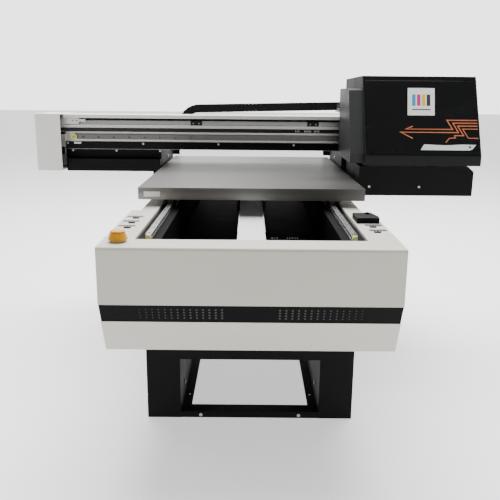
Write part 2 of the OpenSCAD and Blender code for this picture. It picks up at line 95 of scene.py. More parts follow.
class PrinterColours(PropertyGroup):
    """Colours of the paints, plastics and metals."""

    white: colour_prop("White", "White powder coat", (0.635, 0.602, 0.525))
    black: colour_prop("Black", "Black powder coat", (0.0075, 0.0075, 0.0080))
    gloss_black: colour_prop("Gloss black", "Lacquered black of the carriage", (0.0085, 0.0088, 0.0095))
    aluminium: colour_prop("Aluminium", "Brushed aluminium", (0.60, 0.59, 0.57))
    steel: colour_prop("Steel", "Ground rail steel", (0.55, 0.55, 0.56))
    amber: colour_prop("Amber", "Stop knob", (0.80, 0.36, 0.012))
    bumper: colour_prop("Bumper", "Rubber bumpers", (0.62, 0.64, 0.18))
    orange: colour_prop("Orange", "Carriage stripes", (0.62, 0.19, 0.085))


# ------------------------------------------------------------------------------ shader maths
class Value:
    """A number socket that Python's operators work on."""

    def __init__(self, finish, socket):
        self.finish = finish
        self.socket = socket

    def _maths(self, operation, first, second):
        node = self.finish.node(
            "ShaderNodeMath", {"operation": operation}, {0: first, 1: second}
        )
        return Value(self.finish, node.outputs[0])

    def __add__(self, other):
        return self._maths("ADD", self, other)

    def __mul__(self, other):
        return self._maths("MULTIPLY", self, other)

    def __lt__(self, other):
        return self._maths("LESS_THAN", self, other)


FINISHES = {}


class Finish:
    """One procedural material on a Principled shader, kept in FINISHES under its name."""

    def __init__(self, name, colour, roughness, metallic=0.0, **constants):
        material = bpy.data.materials.new(name)
        material.use_nodes = True
        FINISHES[name] = material
        self.tree = material.node_tree
        self.tree.nodes.clear()
        output = self.tree.nodes.new("ShaderNodeOutputMaterial")
        self.shader = self.tree.nodes.new("ShaderNodeBsdfPrincipled")
        self.tree.links.new(self.shader.outputs[0], output.inputs[0])
        self.shader.inputs["Base Color"].default_value = (*colour, 1.0)
        self.shader.inputs["Roughness"].default_value = roughness
        self.shader.inputs["Metallic"].default_value = metallic
        for key, value in constants.items():
            self.shader.inputs[key.replace("_", " ")].default_value = value
        self.colour = colour

    def plug(self, socket, value):
        """Links a socket, or sets it where the value is plain."""
        if isinstance(value, Value):
            value = value.socket
        if isinstance(value, bpy.types.NodeSocket):
            self.tree.links.new(value, socket)
        else:
            socket.default_value = value

    def node(self, kind, settings=None, inputs=None):
        """Any node, from its type, its settings and the values or links of its sockets."""
        made = self.tree.nodes.new(kind)
        for key, value in (settings or {}).items():
            if key == "stops":
                ramp = made.color_ramp.elements
                while len(ramp) < len(value):
                    ramp.new(0.5)
                for element, (place, shade) in zip(ramp, value):
                    element.position = place
                    element.color = (shade, shade, shade, 1.0)
            else:
                setattr(made, key, value)
        for key, value in (inputs or {}).items():
            self.plug(made.inputs[key], value)
        return made

    def place(self, stretch=(1.0, 1.0, 1.0)):
        """The point on the object, in metres, stretched along the axes."""
        coords = self.node("ShaderNodeTexCoord").outputs["Object"]
        if tuple(stretch) == (1.0, 1.0, 1.0):
            return coords
        return self.node(
            "ShaderNodeVectorMath", {"operation": "MULTIPLY"}, {0: coords, 1: stretch}
        ).outputs[0]

    def along(self, axis):
        """How far a point lies along an axis, in metres."""
        made = self.node("ShaderNodeSeparateXYZ", {}, {0: self.place()})
        return Value(self, made.outputs["XYZ".index(axis)])

    def noise(self, scale, detail=2.0, stretch=(1.0, 1.0, 1.0), rough=0.5):
        """Soft noise from 0 to 1."""
        made = self.node(
            "ShaderNodeTexNoise",
            {},
            {"Vector": self.place(stretch), "Scale": scale, "Detail": detail, "Roughness": rough},
        )
        return Value(self, made.outputs[0])

    def ramp(self, value, low, high):
        """0 below low and 1 above high."""
        made = self.node(
            "ShaderNodeMapRange",
            {"interpolation_type": "SMOOTHSTEP"},
            {"Value": value, "From Min": low, "From Max": high},
        )
        return Value(self, made.outputs[0])

    def shade(self, mask, colour):
        """Puts another colour over the base colour where the mask is 1."""
        base = self.shader.inputs["Base Color"]
        below = base.links[0].from_socket if base.links else (*self.colour, 1.0)
        made = self.node(
            "ShaderNodeMix", {"data_type": "RGBA"}, {0: mask, 6: below, 7: (*colour, 1.0)}
        )
        self.plug(base, made.outputs[2])

    def bump(self, height, depth, strength=1.0):
        """Relief of that depth in metres."""
        made = self.node(
            "ShaderNodeBump", {}, {"Height": height, "Distance": depth, "Strength": strength}
        )
        self.plug(self.shader.inputs["Normal"], made.outputs[0])

    def rough(self, value):
        """Roughness that changes over the surface."""
        self.plug(self.shader.inputs["Roughness"], value)


def tint(colour, factor):
    """A colour made lighter or darker."""
    return tuple(min(1.0, c * factor) for c in colour)


def powder_coat(name, colour, roughness=0.46, grain=1500.0, relief=0.00010, dust=0.0, shine=0.5):
    """Sprayed and baked paint: a fine pebble, slight clouding and rubbed patches."""
    finish = Finish(name, colour, roughness, Specular_IOR_Level=shine)
    cloud = finish.noise(2.3, 3.0)
    finish.shade(finish.ramp(cloud, 0.35, 0.75) * 0.5, tint(colour, 0.93))
    speck = finish.noise(grain * 0.35, 2.0)
    finish.shade(finish.ramp(speck, 0.62, 0.74) * 0.35, tint(colour, 1.25))
    if dust > 0:
        film = finish.ramp(finish.noise(9.0, 4.0, (1, 1, 0.4)), 0.45, 0.8)
        finish.shade(film * dust, (0.36, 0.35, 0.33))
    finish.rough(finish.noise(14.0, 3.0) * 0.16 + (roughness - 0.08))
    finish.bump(finish.noise(grain, 2.0), relief, 0.55)


def lacquer(name, colour):
    """Glossy black lacquer with a faint orange peel and wiping marks."""
    finish = Finish(name, colour, 0.24, Specular_IOR_Level=0.14, Coat_Weight=0.06, Coat_Roughness=0.10)
    wipe = finish.noise(6.0, 4.0, (1.0, 1.0, 2.5))
    finish.rough(finish.ramp(wipe, 0.35, 0.8) * 0.14 + 0.20)
    speck = finish.noise(900.0, 1.0)
    finish.shade(finish.ramp(speck, 0.74, 0.82) * 0.3, (0.03, 0.03, 0.032))
    finish.bump(finish.noise(240.0, 2.0), 0.00012, 0.35)


def brushed(name, colour, along="X", roughness=0.34, metallic=1.0, contrast=0.16, fine=900.0):
    """Metal brushed along one axis: long hair lines in colour, roughness and relief."""
    finish = Finish(name, colour, roughness, metallic)
    stretch = {"X": (0.02, 1.0, 1.0), "Y": (1.0, 0.02, 1.0), "Z": (1.0, 1.0, 0.02)}[along]
    hair = finish.noise(fine, 3.0, stretch, 0.65)
    cloud = finish.noise(3.0, 2.0)
    finish.shade(finish.ramp(hair, 0.35, 0.75) * 0.6, tint(colour, 1.0 - contrast))
    finish.shade(finish.ramp(cloud, 0.4, 0.7) * 0.35, tint(colour, 1.0 - contrast * 0.6))
    finish.rough(hair * 0.20 + (roughness - 0.10))
    finish.bump(hair, 0.00006, 0.5)


def bed_sheet(name, colour):
    """Brushed bed sheet with smears and a few scratches; a painted reflection makes it a little darker
    towards its right side, and painted shade darkens the upper part of its front face.
    """
    finish = Finish(name, colour, 0.36, 0.85, Specular_Tint=(0.35, 0.35, 0.35, 1.0))
    hair = finish.noise(700.0, 3.0, (0.02, 1.0, 1.0), 0.65)
    smear = finish.noise(5.0, 4.0, (0.5, 1.6, 1.0), 0.6)
    finish.shade(finish.ramp(hair, 0.35, 0.75) * 0.5, tint(colour, 0.80))
    # Painted reflection: the sheet is darkened towards its right side.
    finish.shade(finish.ramp(finish.along("X"), -0.22, 0.30) * 0.90, tint(colour, 0.30))
    finish.shade(finish.ramp(smear, 0.50, 0.72) * 0.30, tint(colour, 0.72))
    # Painted shade: the upper part of the bed's front face is darkened.
    front = (finish.along("Y") < -0.2595) * finish.ramp(finish.along("Z"), 0.646, 0.664)
    finish.shade(front * 0.55, tint(colour, 0.25))
    finish.rough(hair * 0.16 + smear * 0.10 + 0.24)
    finish.bump(hair, 0.00006, 0.5)


def moulded(name, colour, roughness, **constants):
    """Moulded plastic with a fine spark-eroded grain and a slight sheen change."""
    finish = Finish(name, colour, roughness, **constants)
    finish.shade(finish.ramp(finish.noise(30.0, 3.0), 0.4, 0.75) * 0.5, tint(colour, 0.86))
    finish.rough(finish.noise(22.0, 2.0) * 0.14 + (roughness - 0.06))
    finish.bump(finish.noise(2400.0, 2.0), 0.00006, 0.4)


def rubber(name, colour, roughness=0.62):
    """Matt rubber with a dusty bloom."""
    finish = Finish(name, colour, roughness)
    bloom = finish.ramp(finish.noise(55.0, 4.0), 0.45, 0.75)
    finish.shade(bloom * 0.45, tint(colour, 1.35))
    finish.rough(bloom * 0.12 + (roughness - 0.05))
    finish.bump(finish.noise(1700.0, 2.0), 0.00010, 0.5)


def printed(name, colour, roughness=0.35):
    """Printed vinyl or ink: flat colour with the film's slight waviness."""
    finish = Finish(name, colour, roughness)
    finish.shade(finish.ramp(finish.noise(260.0, 3.0), 0.4, 0.7) * 0.4, tint(colour, 0.88))
    finish.bump(finish.noise(180.0, 2.0), 0.00004, 0.4)


def make_finishes(colours):
    """Every finish of the machine."""
    white, black = tuple(colours.white), tuple(colours.black)
    alu, steel = tuple(colours.aluminium), tuple(colours.steel)
    # A lighter copy of the white paint, which is painted light for the beam's top cover and end cap.
    powder_coat("lit_white_paint", (0.90, 0.885, 0.86), 0.42, 1300.0, 0.00008)
    powder_coat("white_paint", white, 0.44, 1300.0, 0.00009)
    powder_coat("black_paint", black, 0.50, 1500.0, 0.00012, 0.004, 0.08)
    powder_coat("deep_black", tint(black, 0.6), 0.62, 1500.0, 0.00012, 0.0, 0.03)
    powder_coat("black_band", tint(black, 0.7), 0.46, 1600.0, 0.00008, 0.0, 0.05)
    # A lighter copy of the white paint for the centre cover, which is painted light where the bed shades
    # it.
    powder_coat("light_grey_paint", (0.90, 0.90, 0.90), 0.36)
    lacquer("carriage_black", tuple(colours.gloss_black))
    powder_coat("housing_black", (0.028, 0.028, 0.029), 0.5, 1600.0, 0.00006, 0.0, 0.03)
    bed_sheet("bed_aluminium", tint(alu, 0.52))
    brushed("bed_core_grey", (0.30, 0.30, 0.30), "Y", 0.5, 0.6)
    brushed("beam_aluminium", tint(alu, 1.12), "X", 0.33, 1.0, 0.14, 1200.0)
    brushed("rail_steel", (0.17, 0.165, 0.155), "X", 0.30, 0.9, 0.20, 1500.0)
    brushed("strip_steel", (0.36, 0.355, 0.34), "X", 0.30, 0.9, 0.14, 1500.0)
    brushed("rail_steel_long", steel, "Y", 0.26, 1.0, 0.12, 1500.0)
    brushed("block_steel", (0.045, 0.045, 0.048), "Y", 0.36, 0.6)
    brushed("steel_screws", (0.50, 0.50, 0.51), "X", 0.30, 1.0, 0.2, 2500.0)
    brushed("dark_screws", (0.07, 0.07, 0.07), "X", 0.35, 0.9, 0.2, 2500.0)
    brushed("power_case", (0.55, 0.56, 0.57), "X", 0.4, 1.0)
    brushed("pulley_aluminium", (0.62, 0.62, 0.63), "Z", 0.3, 1.0)
    brushed("head_steel", (0.58, 0.58, 0.58), "X", 0.3, 1.0)
    brushed("blade_metal", (0.74, 0.73, 0.70), "X", 0.28, 1.0, 0.10, 1500.0)
    moulded("black_plastic", (0.007, 0.007, 0.008), 0.46, Specular_IOR_Level=0.10)
    moulded("encoder_parts", (0.010, 0.010, 0.011), 0.38, Specular_IOR_Level=0.25)
    moulded("motor_black", (0.012, 0.012, 0.013), 0.38, Specular_IOR_Level=0.3)
    powder_coat("pod_black", (0.050, 0.051, 0.052), 0.45, 1700.0, 0.00006, 0.0, 0.07)
    powder_coat("bracket_steel", (0.06, 0.061, 0.064), 0.42)
    moulded("collar_plastic", (0.62, 0.42, 0.12), 0.36, Coat_Weight=0.2)
    moulded("knob_plastic", tuple(colours.amber), 0.42, Specular_IOR_Level=0.3)
    rubber("bumper_rubber", tuple(colours.bumper), 0.5)
    rubber("belt_rubber", (0.008, 0.008, 0.008), 0.6)
    moulded("ink_plastic", (0.62, 0.62, 0.62), 0.25)
    moulded("head_body", (0.05, 0.20, 0.42), 0.35)
    printed("silver_print", (0.80, 0.85, 0.88), 0.30)
    printed("orange_vinyl", tuple(colours.orange), 0.32)
    printed("white_vinyl", (0.93, 0.93, 0.92), 0.34)
    printed("dark_print", (0.035, 0.035, 0.04), 0.42)
    printed("ink_cyan", (0.02, 0.32, 0.62), 0.35)
    printed("ink_magenta", (0.62, 0.03, 0.22), 0.35)
    printed("ink_yellow", (0.85, 0.62, 0.04), 0.35)
    printed("dot_ink", (0.026, 0.025, 0.023), 0.5)


# ------------------------------------------------------------------------------ mesh helpers
def add_box(bm, low, high):
    """A box between two corners."""
    made = bmesh.ops.create_cube(bm, size=1.0)
    size = Vector(high) - Vector(low)
    middle = (Vector(high) + Vector(low)) / 2
    bmesh.ops.scale(bm, vec=size, verts=made["verts"])
    bmesh.ops.translate(bm, vec=middle, verts=made["verts"])
    return made["verts"]


def add_disc(bm, centre, axis, radius, thick, sides=20):
    """A short round piece whose base sits at centre and grows along axis."""
    made = bmesh.ops.create_cone(
        bm,
        cap_ends=True,
        segments=sides,
        radius1=radius,
        radius2=radius,
        depth=thick,
    )
    turn = Vector(axis).to_track_quat("Z", "Y").to_matrix().to_4x4()
    shift = Matrix.Translation(Vector(centre) + Vector(axis).normalized() * thick / 2)
    bmesh.ops.transform(bm, matrix=shift @ turn, verts=made["verts"])
    return made["verts"]


def add_outline(bm, points, depth):
    """A flat outline pushed along a depth vector."""
    low = [bm.verts.new(Vector(p)) for p in points]
    high = [bm.verts.new(Vector(p) + Vector(depth)) for p in points]
    bm.faces.new(low)
    bm.faces.new(list(reversed(high)))
    count = len(points)
    for i in range(count):
        j = (i + 1) % count
        bm.faces.new((low[i], high[i], high[j], low[j]))


def add_lathe(bm, centre, profile, sides=48, bulge=None):
    """A turned solid about +Z from (radius, height) points."""
    rings = []
    for radius, height in profile:
        ring = []
        for k in range(sides):
            angle = 2 * math.pi * k / sides
            reach = radius * (bulge(angle, height) if bulge else 1.0)
            spot = Vector((reach * math.cos(angle), reach * math.sin(angle), height))
            ring.append(bm.verts.new(Vector(centre) + spot))
        rings.append(ring)
    for below, above in zip(rings, rings[1:]):
        for k in range(sides):
            j = (k + 1) % sides
            bm.faces.new((below[k], below[j], above[j], above[k]))
    bm.faces.new(list(reversed(rings[0])))
    bm.faces.new(rings[-1])


def piece(name, bm, finish, body, bevel=0.0, smooth=30.0):
    """Turns a bmesh into a finished piece that rides on a body."""
    bmesh.ops.recalc_face_normals(bm, faces=bm.faces)
    mesh = bpy.data.meshes.new(name)
    bm.to_mesh(mesh)
    bm.free()
    made = bpy.data.objects.new(name, mesh)
    bpy.context.scene.collection.objects.link(made)
    mesh.materials.append(FINISHES[finish])
    if bevel > 0:
        soften(made, bevel)
    mesh.shade_smooth()
    mesh.set_sharp_from_angle(angle=math.radians(smooth))
    if body:
        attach(made, body)
    return made


def soften(made, width, segments=2):
    """Rounds an object's sharp edges."""
    bevel = made.modifiers.new("edge_round", "BEVEL")
    bevel.width = width
    bevel.segments = segments
    bevel.limit_method = "ANGLE"
    bevel.angle_limit = math.radians(40)
    bevel.harden_normals = False


def dress(nodes, finish, bevel=0.0, segments=2):
    """Gives CAD nodes their finish and their rounded edges."""
    for name in nodes:
        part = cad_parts[name]
        part.data.materials.clear()
        part.data.materials.append(FINISHES[finish])
        if bevel > 0:
            soften(part, bevel, segments)


def sizes():
    """The user's sizes."""
    return bpy.context.scene.printer_sizes


# --------------------------------------------------------------------------------- operators
class PRINTER_OT_finishes(Operator):
    """Makes every paint, metal, plastic and print"""

    bl_idname = "printer.finishes"
    bl_label = "Finishes"

    def execute(self, context):
        make_finishes(context.scene.printer_colours)
        return {"FINISHED"}


class PRINTER_OT_pedestal(Operator):
    """Dresses the legs, crossbars, base, chassis and cover screws"""

    bl_idname = "printer.pedestal"
    bl_label = "Pedestal"

    def execute(self, context):
        dress(["left_leg", "right_leg", "pedestal_crossbars"], "black_paint", 0.0015)
        dress(["base_plate", "chassis", "rail_beams", "well_floor"], "deep_black", 0.0008)
        dress(["cover_screws"], "steel_screws", 0.0005)
        return {"FINISHED"}


class PRINTER_OT_cabinet(Operator):
    """Dresses the cabinet's covers and adds the dots of the black band"""

    bl_idname = "printer.cabinet"
    bl_label = "Cabinet"

    def execute(self, context):
        round_edge = sizes().edge_round
        dress(
            [
                "front_cover",
                "lower_front_panel",
                "nose_covers",
                "left_control_panel",
                "right_control_panel",
                "side_covers",
                "rear_cover",
            ],
            "white_paint",
            round_edge * 0.7,
        )
        dress(["dot_band"], "black_band", 0.0005)
        # The centre cover takes the lighter paint, which is painted light against the bed's shadow.
        dress(["centre_cover"], "light_grey_paint", 0.0006)
        dress(["power_inlet"], "black_plastic", 0.0008)
        dress(["power_supplies"], "power_case", 0.0015)
        self.dots()
        self.well_marks()
        self.inlet_pins()
        self.panel_screws()
        return {"FINISHED"}

    def well_marks(self):
        """Small pale marks on the floor of the right-hand well, three and then five."""
        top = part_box("well_floor")[1].z
        bm = bmesh.new()
        for start, count in ((0.066, 3), (0.115, 5)):
            for k in range(count):
                x = start + 0.0082 * k
                add_box(bm, (x, -0.205, top), (x + 0.0045, -0.187, top + 0.0004))
        piece("well_marks", bm, "white_vinyl", "root")

    def inlet_pins(self):
        """Three flat pins inside the power inlet."""
        low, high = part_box("power_inlet")
        x, z = (low.x + high.x) / 2, (low.z + high.z) / 2
        bm = bmesh.new()
        for dx, dz in ((-0.007, -0.002), (0.007, -0.002), (0.0, 0.004)):
            add_box(
                bm,
                (x + dx - 0.001, high.y - 0.0198, z + dz - 0.002),
                (x + dx + 0.001, high.y - 0.004, z + dz + 0.002),
            )
        piece("inlet_pins", bm, "steel_screws", "root", 0.0002)

    def panel_screws(self):
        """Countersunk screws of the side covers and the rear cover."""
        bm = bmesh.new()
        low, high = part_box("side_covers")
        for side, face in ((-1, low.x), (1, high.x)):
            for y in (-0.29, 0.23, 0.76):
                for z in (low.z + 0.018, high.z - 0.022):
                    add_disc(bm, (face - side * 0.0016, y, z), (side, 0, 0), 0.0042, 0.0018, 24)
        low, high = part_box("nose_covers")
        for side, face in ((-1, low.x), (1, high.x)):
            for y, z in ((-0.36, low.z + 0.03), (-0.70, low.z + 0.03), (-0.36, high.z - 0.03)):
                add_disc(bm, (face - side * 0.0016, y, z), (side, 0, 0), 0.0042, 0.0018, 24)
        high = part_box("rear_cover")[1]
        for x in (-0.31, -0.05, 0.31):
            for z in (0.362, 0.592):
                add_disc(bm, (x, high.y - 0.0017, z), (0, 1, 0), 0.0042, 0.0018, 24)
        piece("panel_screws", bm, "steel_screws", "root", 0.0003)

    def dots(self):
        """Four rows of dots on each side that fade towards the ends of the band."""
        low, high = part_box("dot_band")
        size = sizes()
        thick = 0.003
        up = Vector((0, low.y + thick - high.y, high.z - low.z))
        along = up.normalized()
        out = Vector((0, -along.z, along.y))
        foot = Vector((0, high.y - thick, low.z))
        bm = bmesh.new()
        for side in (-1, 1):
            for column in range(size.dot_columns):
                fade = 1.0 - 0.62 * (column / size.dot_columns) ** 1.5
                x = side * (size.dot_gap + column * size.dot_pitch)
                for row in range(4):
                    height = up.length / 2 + (row - 1.5) * size.dot_row_pitch
                    centre = foot + along * height + Vector((x, 0, 0))
                    add_disc(bm, centre, out, size.dot_radius * fade, 0.0004, 16)
        piece("band_dots", bm, "dot_ink", "root")


class PRINTER_OT_controls(Operator):
    """Stop knob, push buttons, switch box and the bars printed beside them"""

    bl_idname = "printer.controls"
    bl_label = "Controls"

    def execute(self, context):
        dress(["stop_collar"], "collar_plastic", 0.001, 3)
        dress(["switch_box", "toggle_lever"], "black_plastic", 0.0012, 3)
        buttons = ["left_button_1", "left_button_2", "left_button_3"]
        buttons += ["right_button_1", "right_button_2"]
        dress(buttons, "black_plastic", 0.0008, 2)
        self.knob()
        for name in buttons:
            self.button_face(name)
        self.bars(buttons)
        return {"FINISHED"}

    def knob(self):
        """A skirted conical knob with twelve soft finger grooves and a dark ring near its top."""
        low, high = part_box("stop_knob")
        centre = Vector(((low.x + high.x) / 2, (low.y + high.y) / 2, 0))
        wide = (high.x - low.x) / 2
        skirt = high.z - 0.021

        def groove(angle, height):
            depth = 0.030 if skirt + 0.004 <= height < high.z - 0.004 else 0.0
            return 1.0 - depth * (0.5 - 0.5 * math.cos(12 * angle)) ** 2

        profile = [
            (0.0078, low.z),
            (0.0078, skirt + 0.0071),
            (0.0208, skirt + 0.0070),
            (0.0213, skirt),
            (wide, skirt + 0.0001),
            (wide, skirt + 0.0022),
            (wide * 0.955, skirt + 0.0040),
            (wide * 0.90, skirt + 0.0070),
            (wide * 0.84, skirt + 0.0110),
            (wide * 0.78, skirt + 0.0150),
            (wide * 0.755, skirt + 0.0165),
            (wide * 0.735, skirt + 0.0166),
            (wide * 0.735, skirt + 0.0176),
            (wide * 0.755, skirt + 0.0177),
            (wide * 0.74, skirt + 0.0195),
            (wide * 0.66, high.z - 0.0003),
            (wide * 0.30, high.z),
        ]
        bm = bmesh.new()
        add_lathe(bm, centre, profile, 96, groove)
        made = piece("stop_knob_cap", bm, "knob_plastic", "stop_knob", 0, 50)
        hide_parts("stop_knob")
        bm = bmesh.new()
        ring = [
            (wide * 0.700, skirt + 0.0167),
            (wide * 0.748, skirt + 0.0167),
            (wide * 0.748, skirt + 0.0175),
            (wide * 0.700, skirt + 0.0175),
        ]
        add_lathe(bm, centre, ring, 96)
        for k in range(3):
            angle = math.radians(90 + 120 * k)
            reach = wide * 0.38
            x, y = centre.x + reach * math.cos(angle), centre.y + reach * math.sin(angle)
            turn = angle + math.radians(90)
            tip = Vector((math.cos(turn), math.sin(turn), 0)) * 0.0034
            side = Vector((math.cos(angle), math.sin(angle), 0)) * 0.0014
            base = Vector((x, y, high.z))
            add_outline(bm, [base - tip - side, base + tip, base - tip + side], (0, 0, -0.0006))
        piece("stop_knob_marks", bm, "dark_print", "stop_knob")

    def button_face(self, name):
        """Two pale dots on a button."""
        low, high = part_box(name)
        middle = (low + high) / 2
        bm = bmesh.new()
        for side in (-1, 1):
            centre = Vector((middle.x + side * 0.0042, middle.y, high.z - 0.0003))
            add_disc(bm, centre, (0, 0, 1), 0.0013, 0.0004, 16)
        piece(name + "_dots", bm, "white_vinyl", name)

    def bars(self, buttons):
        """One printed bar behind each button, with two small marks between it and the button."""
        wide, deep, cut_x, cut_y = 0.046, 0.021, 0.003, 0.004
        bar = [(cut_x, 0), (wide - cut_x, 0), (wide, cut_y), (wide, deep - cut_y)]
        bar += [(wide - cut_x, deep), (cut_x, deep), (0, deep - cut_y), (0, cut_y)]
        bm = bmesh.new()
        for name in buttons:
            low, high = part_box(name)
            left = name.startswith("left")
            panel = "left_control_panel" if left else "right_control_panel"
            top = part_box(panel)[1].z
            start = (low.x + high.x) / 2 - (0.029 if left else 0.017)
            y = high.y + 0.013
            add_outline(bm, [(start + x, y + up, top) for x, up in bar], (0, 0, 0.0002))
            for k in (-1, 1):
                x = (low.x + high.x) / 2 + k * 0.0062
                add_box(bm, (x - 0.0030, y - 0.0115, top), (x + 0.0030, y - 0.0055, top + 0.0002))
        piece("panel_bars", bm, "dark_print", "root")


class PRINTER_OT_bed(Operator):
    """Bed, its rails, blocks, screw and blank label"""

    bl_idname = "printer.bed"
    bl_label = "Bed"

    def execute(self, context):
        dress(["bed_plate"], "bed_aluminium", 0.0016, 3)
        dress(["bed_core"], "bed_core_grey")
        dress(["y_rails", "y_screw"], "rail_steel_long", 0.0006)
        dress(["y_blocks"], "block_steel", 0.0010)
        dress(["y_motor"], "motor_black", 0.0015)
        dress(["y_nut_bracket"], "bracket_steel", 0.0012)
        dress(["rail_bumpers"], "bumper_rubber", 0.0012, 3)
        self.label()
        self.block_seals()
        return {"FINISHED"}

    def label(self):
        """A small blank label on the bed's front edge."""
        low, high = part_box("bed_plate")
        x = low.x + 0.018
        bm = bmesh.new()
        add_box(bm, (x, low.y - 0.0003, high.z - 0.028), (x + 0.050, low.y, high.z - 0.012))
        piece("bed_label", bm, "white_vinyl", "bed")

    def block_seals(self):
        """Black end caps on the bearing blocks under the bed."""
        low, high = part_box("y_blocks")
        bm = bmesh.new()
        for side in (-1, 1):
            for start in (low.y, high.y - 0.052):
                centre = side * (high.x - 0.0235)
                for y in (start + 0.0002, start + 0.0498):
                    for inner, outer in ((-0.0173, -0.0084), (0.0084, 0.0173)):
                        add_box(
                            bm,
                            (centre + inner, y - 0.0004, high.z - 0.0215),
                            (centre + outer, y + 0.0024, high.z - 0.0004),
                        )
        piece("block_seals", bm, "black_plastic", "bed")


class PRINTER_OT_gantry(Operator):
    """Beam, its covers, rail, belt, strip, end cap and side housing"""

    bl_idname = "printer.gantry"
    bl_label = "Gantry"

    def execute(self, context):
        dress(["beam"], "beam_aluminium", 0.0004)
        # The beam's top cover and end cap take the lighter copy of the white paint, which is painted
        # light.
        dress(["beam_top_cover", "left_end_cap"], "lit_white_paint", 0.0012)
        dress(["beam_lower_cover", "gantry_supports", "left_box"], "black_paint", 0.0010)
        dress(["x_rail"], "rail_steel", 0.0005)
        dress(["x_belt"], "belt_rubber")
        dress(["x_drive_pulley", "x_idler_pulley"], "pulley_aluminium", 0.0004)
        dress(["x_motor"], "motor_black", 0.0015)
        dress(["encoder_strip"], "encoder_parts", 0.0008)
        dress(["ink_tanks"], "ink_plastic", 0.002)
        dress(["chain_duct"], "black_paint", 0.0008)
        self.left_bracket()
        self.strips()
        self.clip_screws()
        self.belt_marks()
        return {"FINISHED"}

    def left_bracket(self):
        """Bare metal bracket with two screws at the beam's left end, and the pale tag under it."""
        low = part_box("beam")[0]
        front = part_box("encoder_strip")[0].y
        bm = bmesh.new()
        add_box(bm, (low.x + 0.002, front - 0.0015, 0.8345), (low.x + 0.060, front, 0.8565))
        add_box(bm, (low.x + 0.060, front - 0.0015, 0.8435), (low.x + 0.085, front, 0.8535))
        piece("left_bracket", bm, "blade_metal", "root", 0.0003)
        bm = bmesh.new()
        for x in (low.x + 0.036, low.x + 0.052):
            add_disc(bm, (x, front - 0.0034, 0.8475), (0, 1, 0), 0.0024, 0.0020, 18)
        piece("left_bracket_screws", bm, "dark_screws", "root")
        bm = bmesh.new()
        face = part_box("beam_lower_cover")[0].y
        add_box(bm, (low.x + 0.034, face - 0.0003, 0.7585), (low.x + 0.062, face, 0.7655))
        piece("beam_tag", bm, "white_vinyl", "root")

    def strips(self):
        """Steel face of the encoder strip, a black strip of painted shade in the recess above it, and the
        beam's end plate.
        """
        low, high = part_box("beam")
        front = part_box("encoder_strip")[0].y + 0.0108
        bm = bmesh.new()
        add_box(bm, (low.x + 0.062, front - 0.0003, 0.8375), (high.x - 0.032, front - 0.0001, 0.8465))
        piece("encoder_face", bm, "strip_steel", "root")
        # A black strip in the recess under the top cover, which is painted shade and not a part.
        bm = bmesh.new()
        add_box(bm, (low.x + 0.004, front + 0.0072, 0.8487), (high.x - 0.004, front + 0.0088, 0.8576))
        piece("recess_shade_strip", bm, "black_plastic", "root", 0.0003)
        bm = bmesh.new()
        add_box(bm, (low.x - 0.015, low.y + 0.0005, 0.745), (low.x, low.y + 0.018, 0.794))
        add_box(bm, (low.x - 0.015, low.y + 0.0005, 0.822), (low.x, low.y + 0.018, 0.857))
        piece("beam_end_plate", bm, "blade_metal", "root", 0.0004)

    def clip_screws(self):
        """Two small screws on each clip of the encoder strip."""
        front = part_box("encoder_strip")[0].y
        bm = bmesh.new()
        for x in (-0.216, 0.238):
            for side in (-1, 1):
                centre = (x + side * 0.011, front - 0.0008, 0.840)
                add_disc(bm, centre, (0, 1, 0), 0.0022, 0.0009, 18)
        piece("clip_screws", bm, "steel_screws", "root")

    def belt_marks(self):
        """Pale production marks printed on the belt beside the carriage."""
        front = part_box("x_belt")[0].y
        bm = bmesh.new()
        for start, count, pitch in ((0.170, 3, 0.0065), (0.205, 6, 0.0048), (0.243, 4, 0.006)):
            for k in range(count):
                x = start + pitch * k
                add_box(bm, (x, front - 0.0001, 0.8095), (x + 0.0026, front + 0.0002, 0.8165))
        piece("belt_marks", bm, "white_vinyl", "root")


class PRINTER_OT_station(Operator):
    """Capping station under the parked carriage"""

    bl_idname = "printer.station"
    bl_label = "Capping station"

    def execute(self, context):
        dress(["station_housing"], "black_paint", 0.0012)
        dress(["station_cap"], "black_plastic", 0.0008)
        return {"FINISHED"}


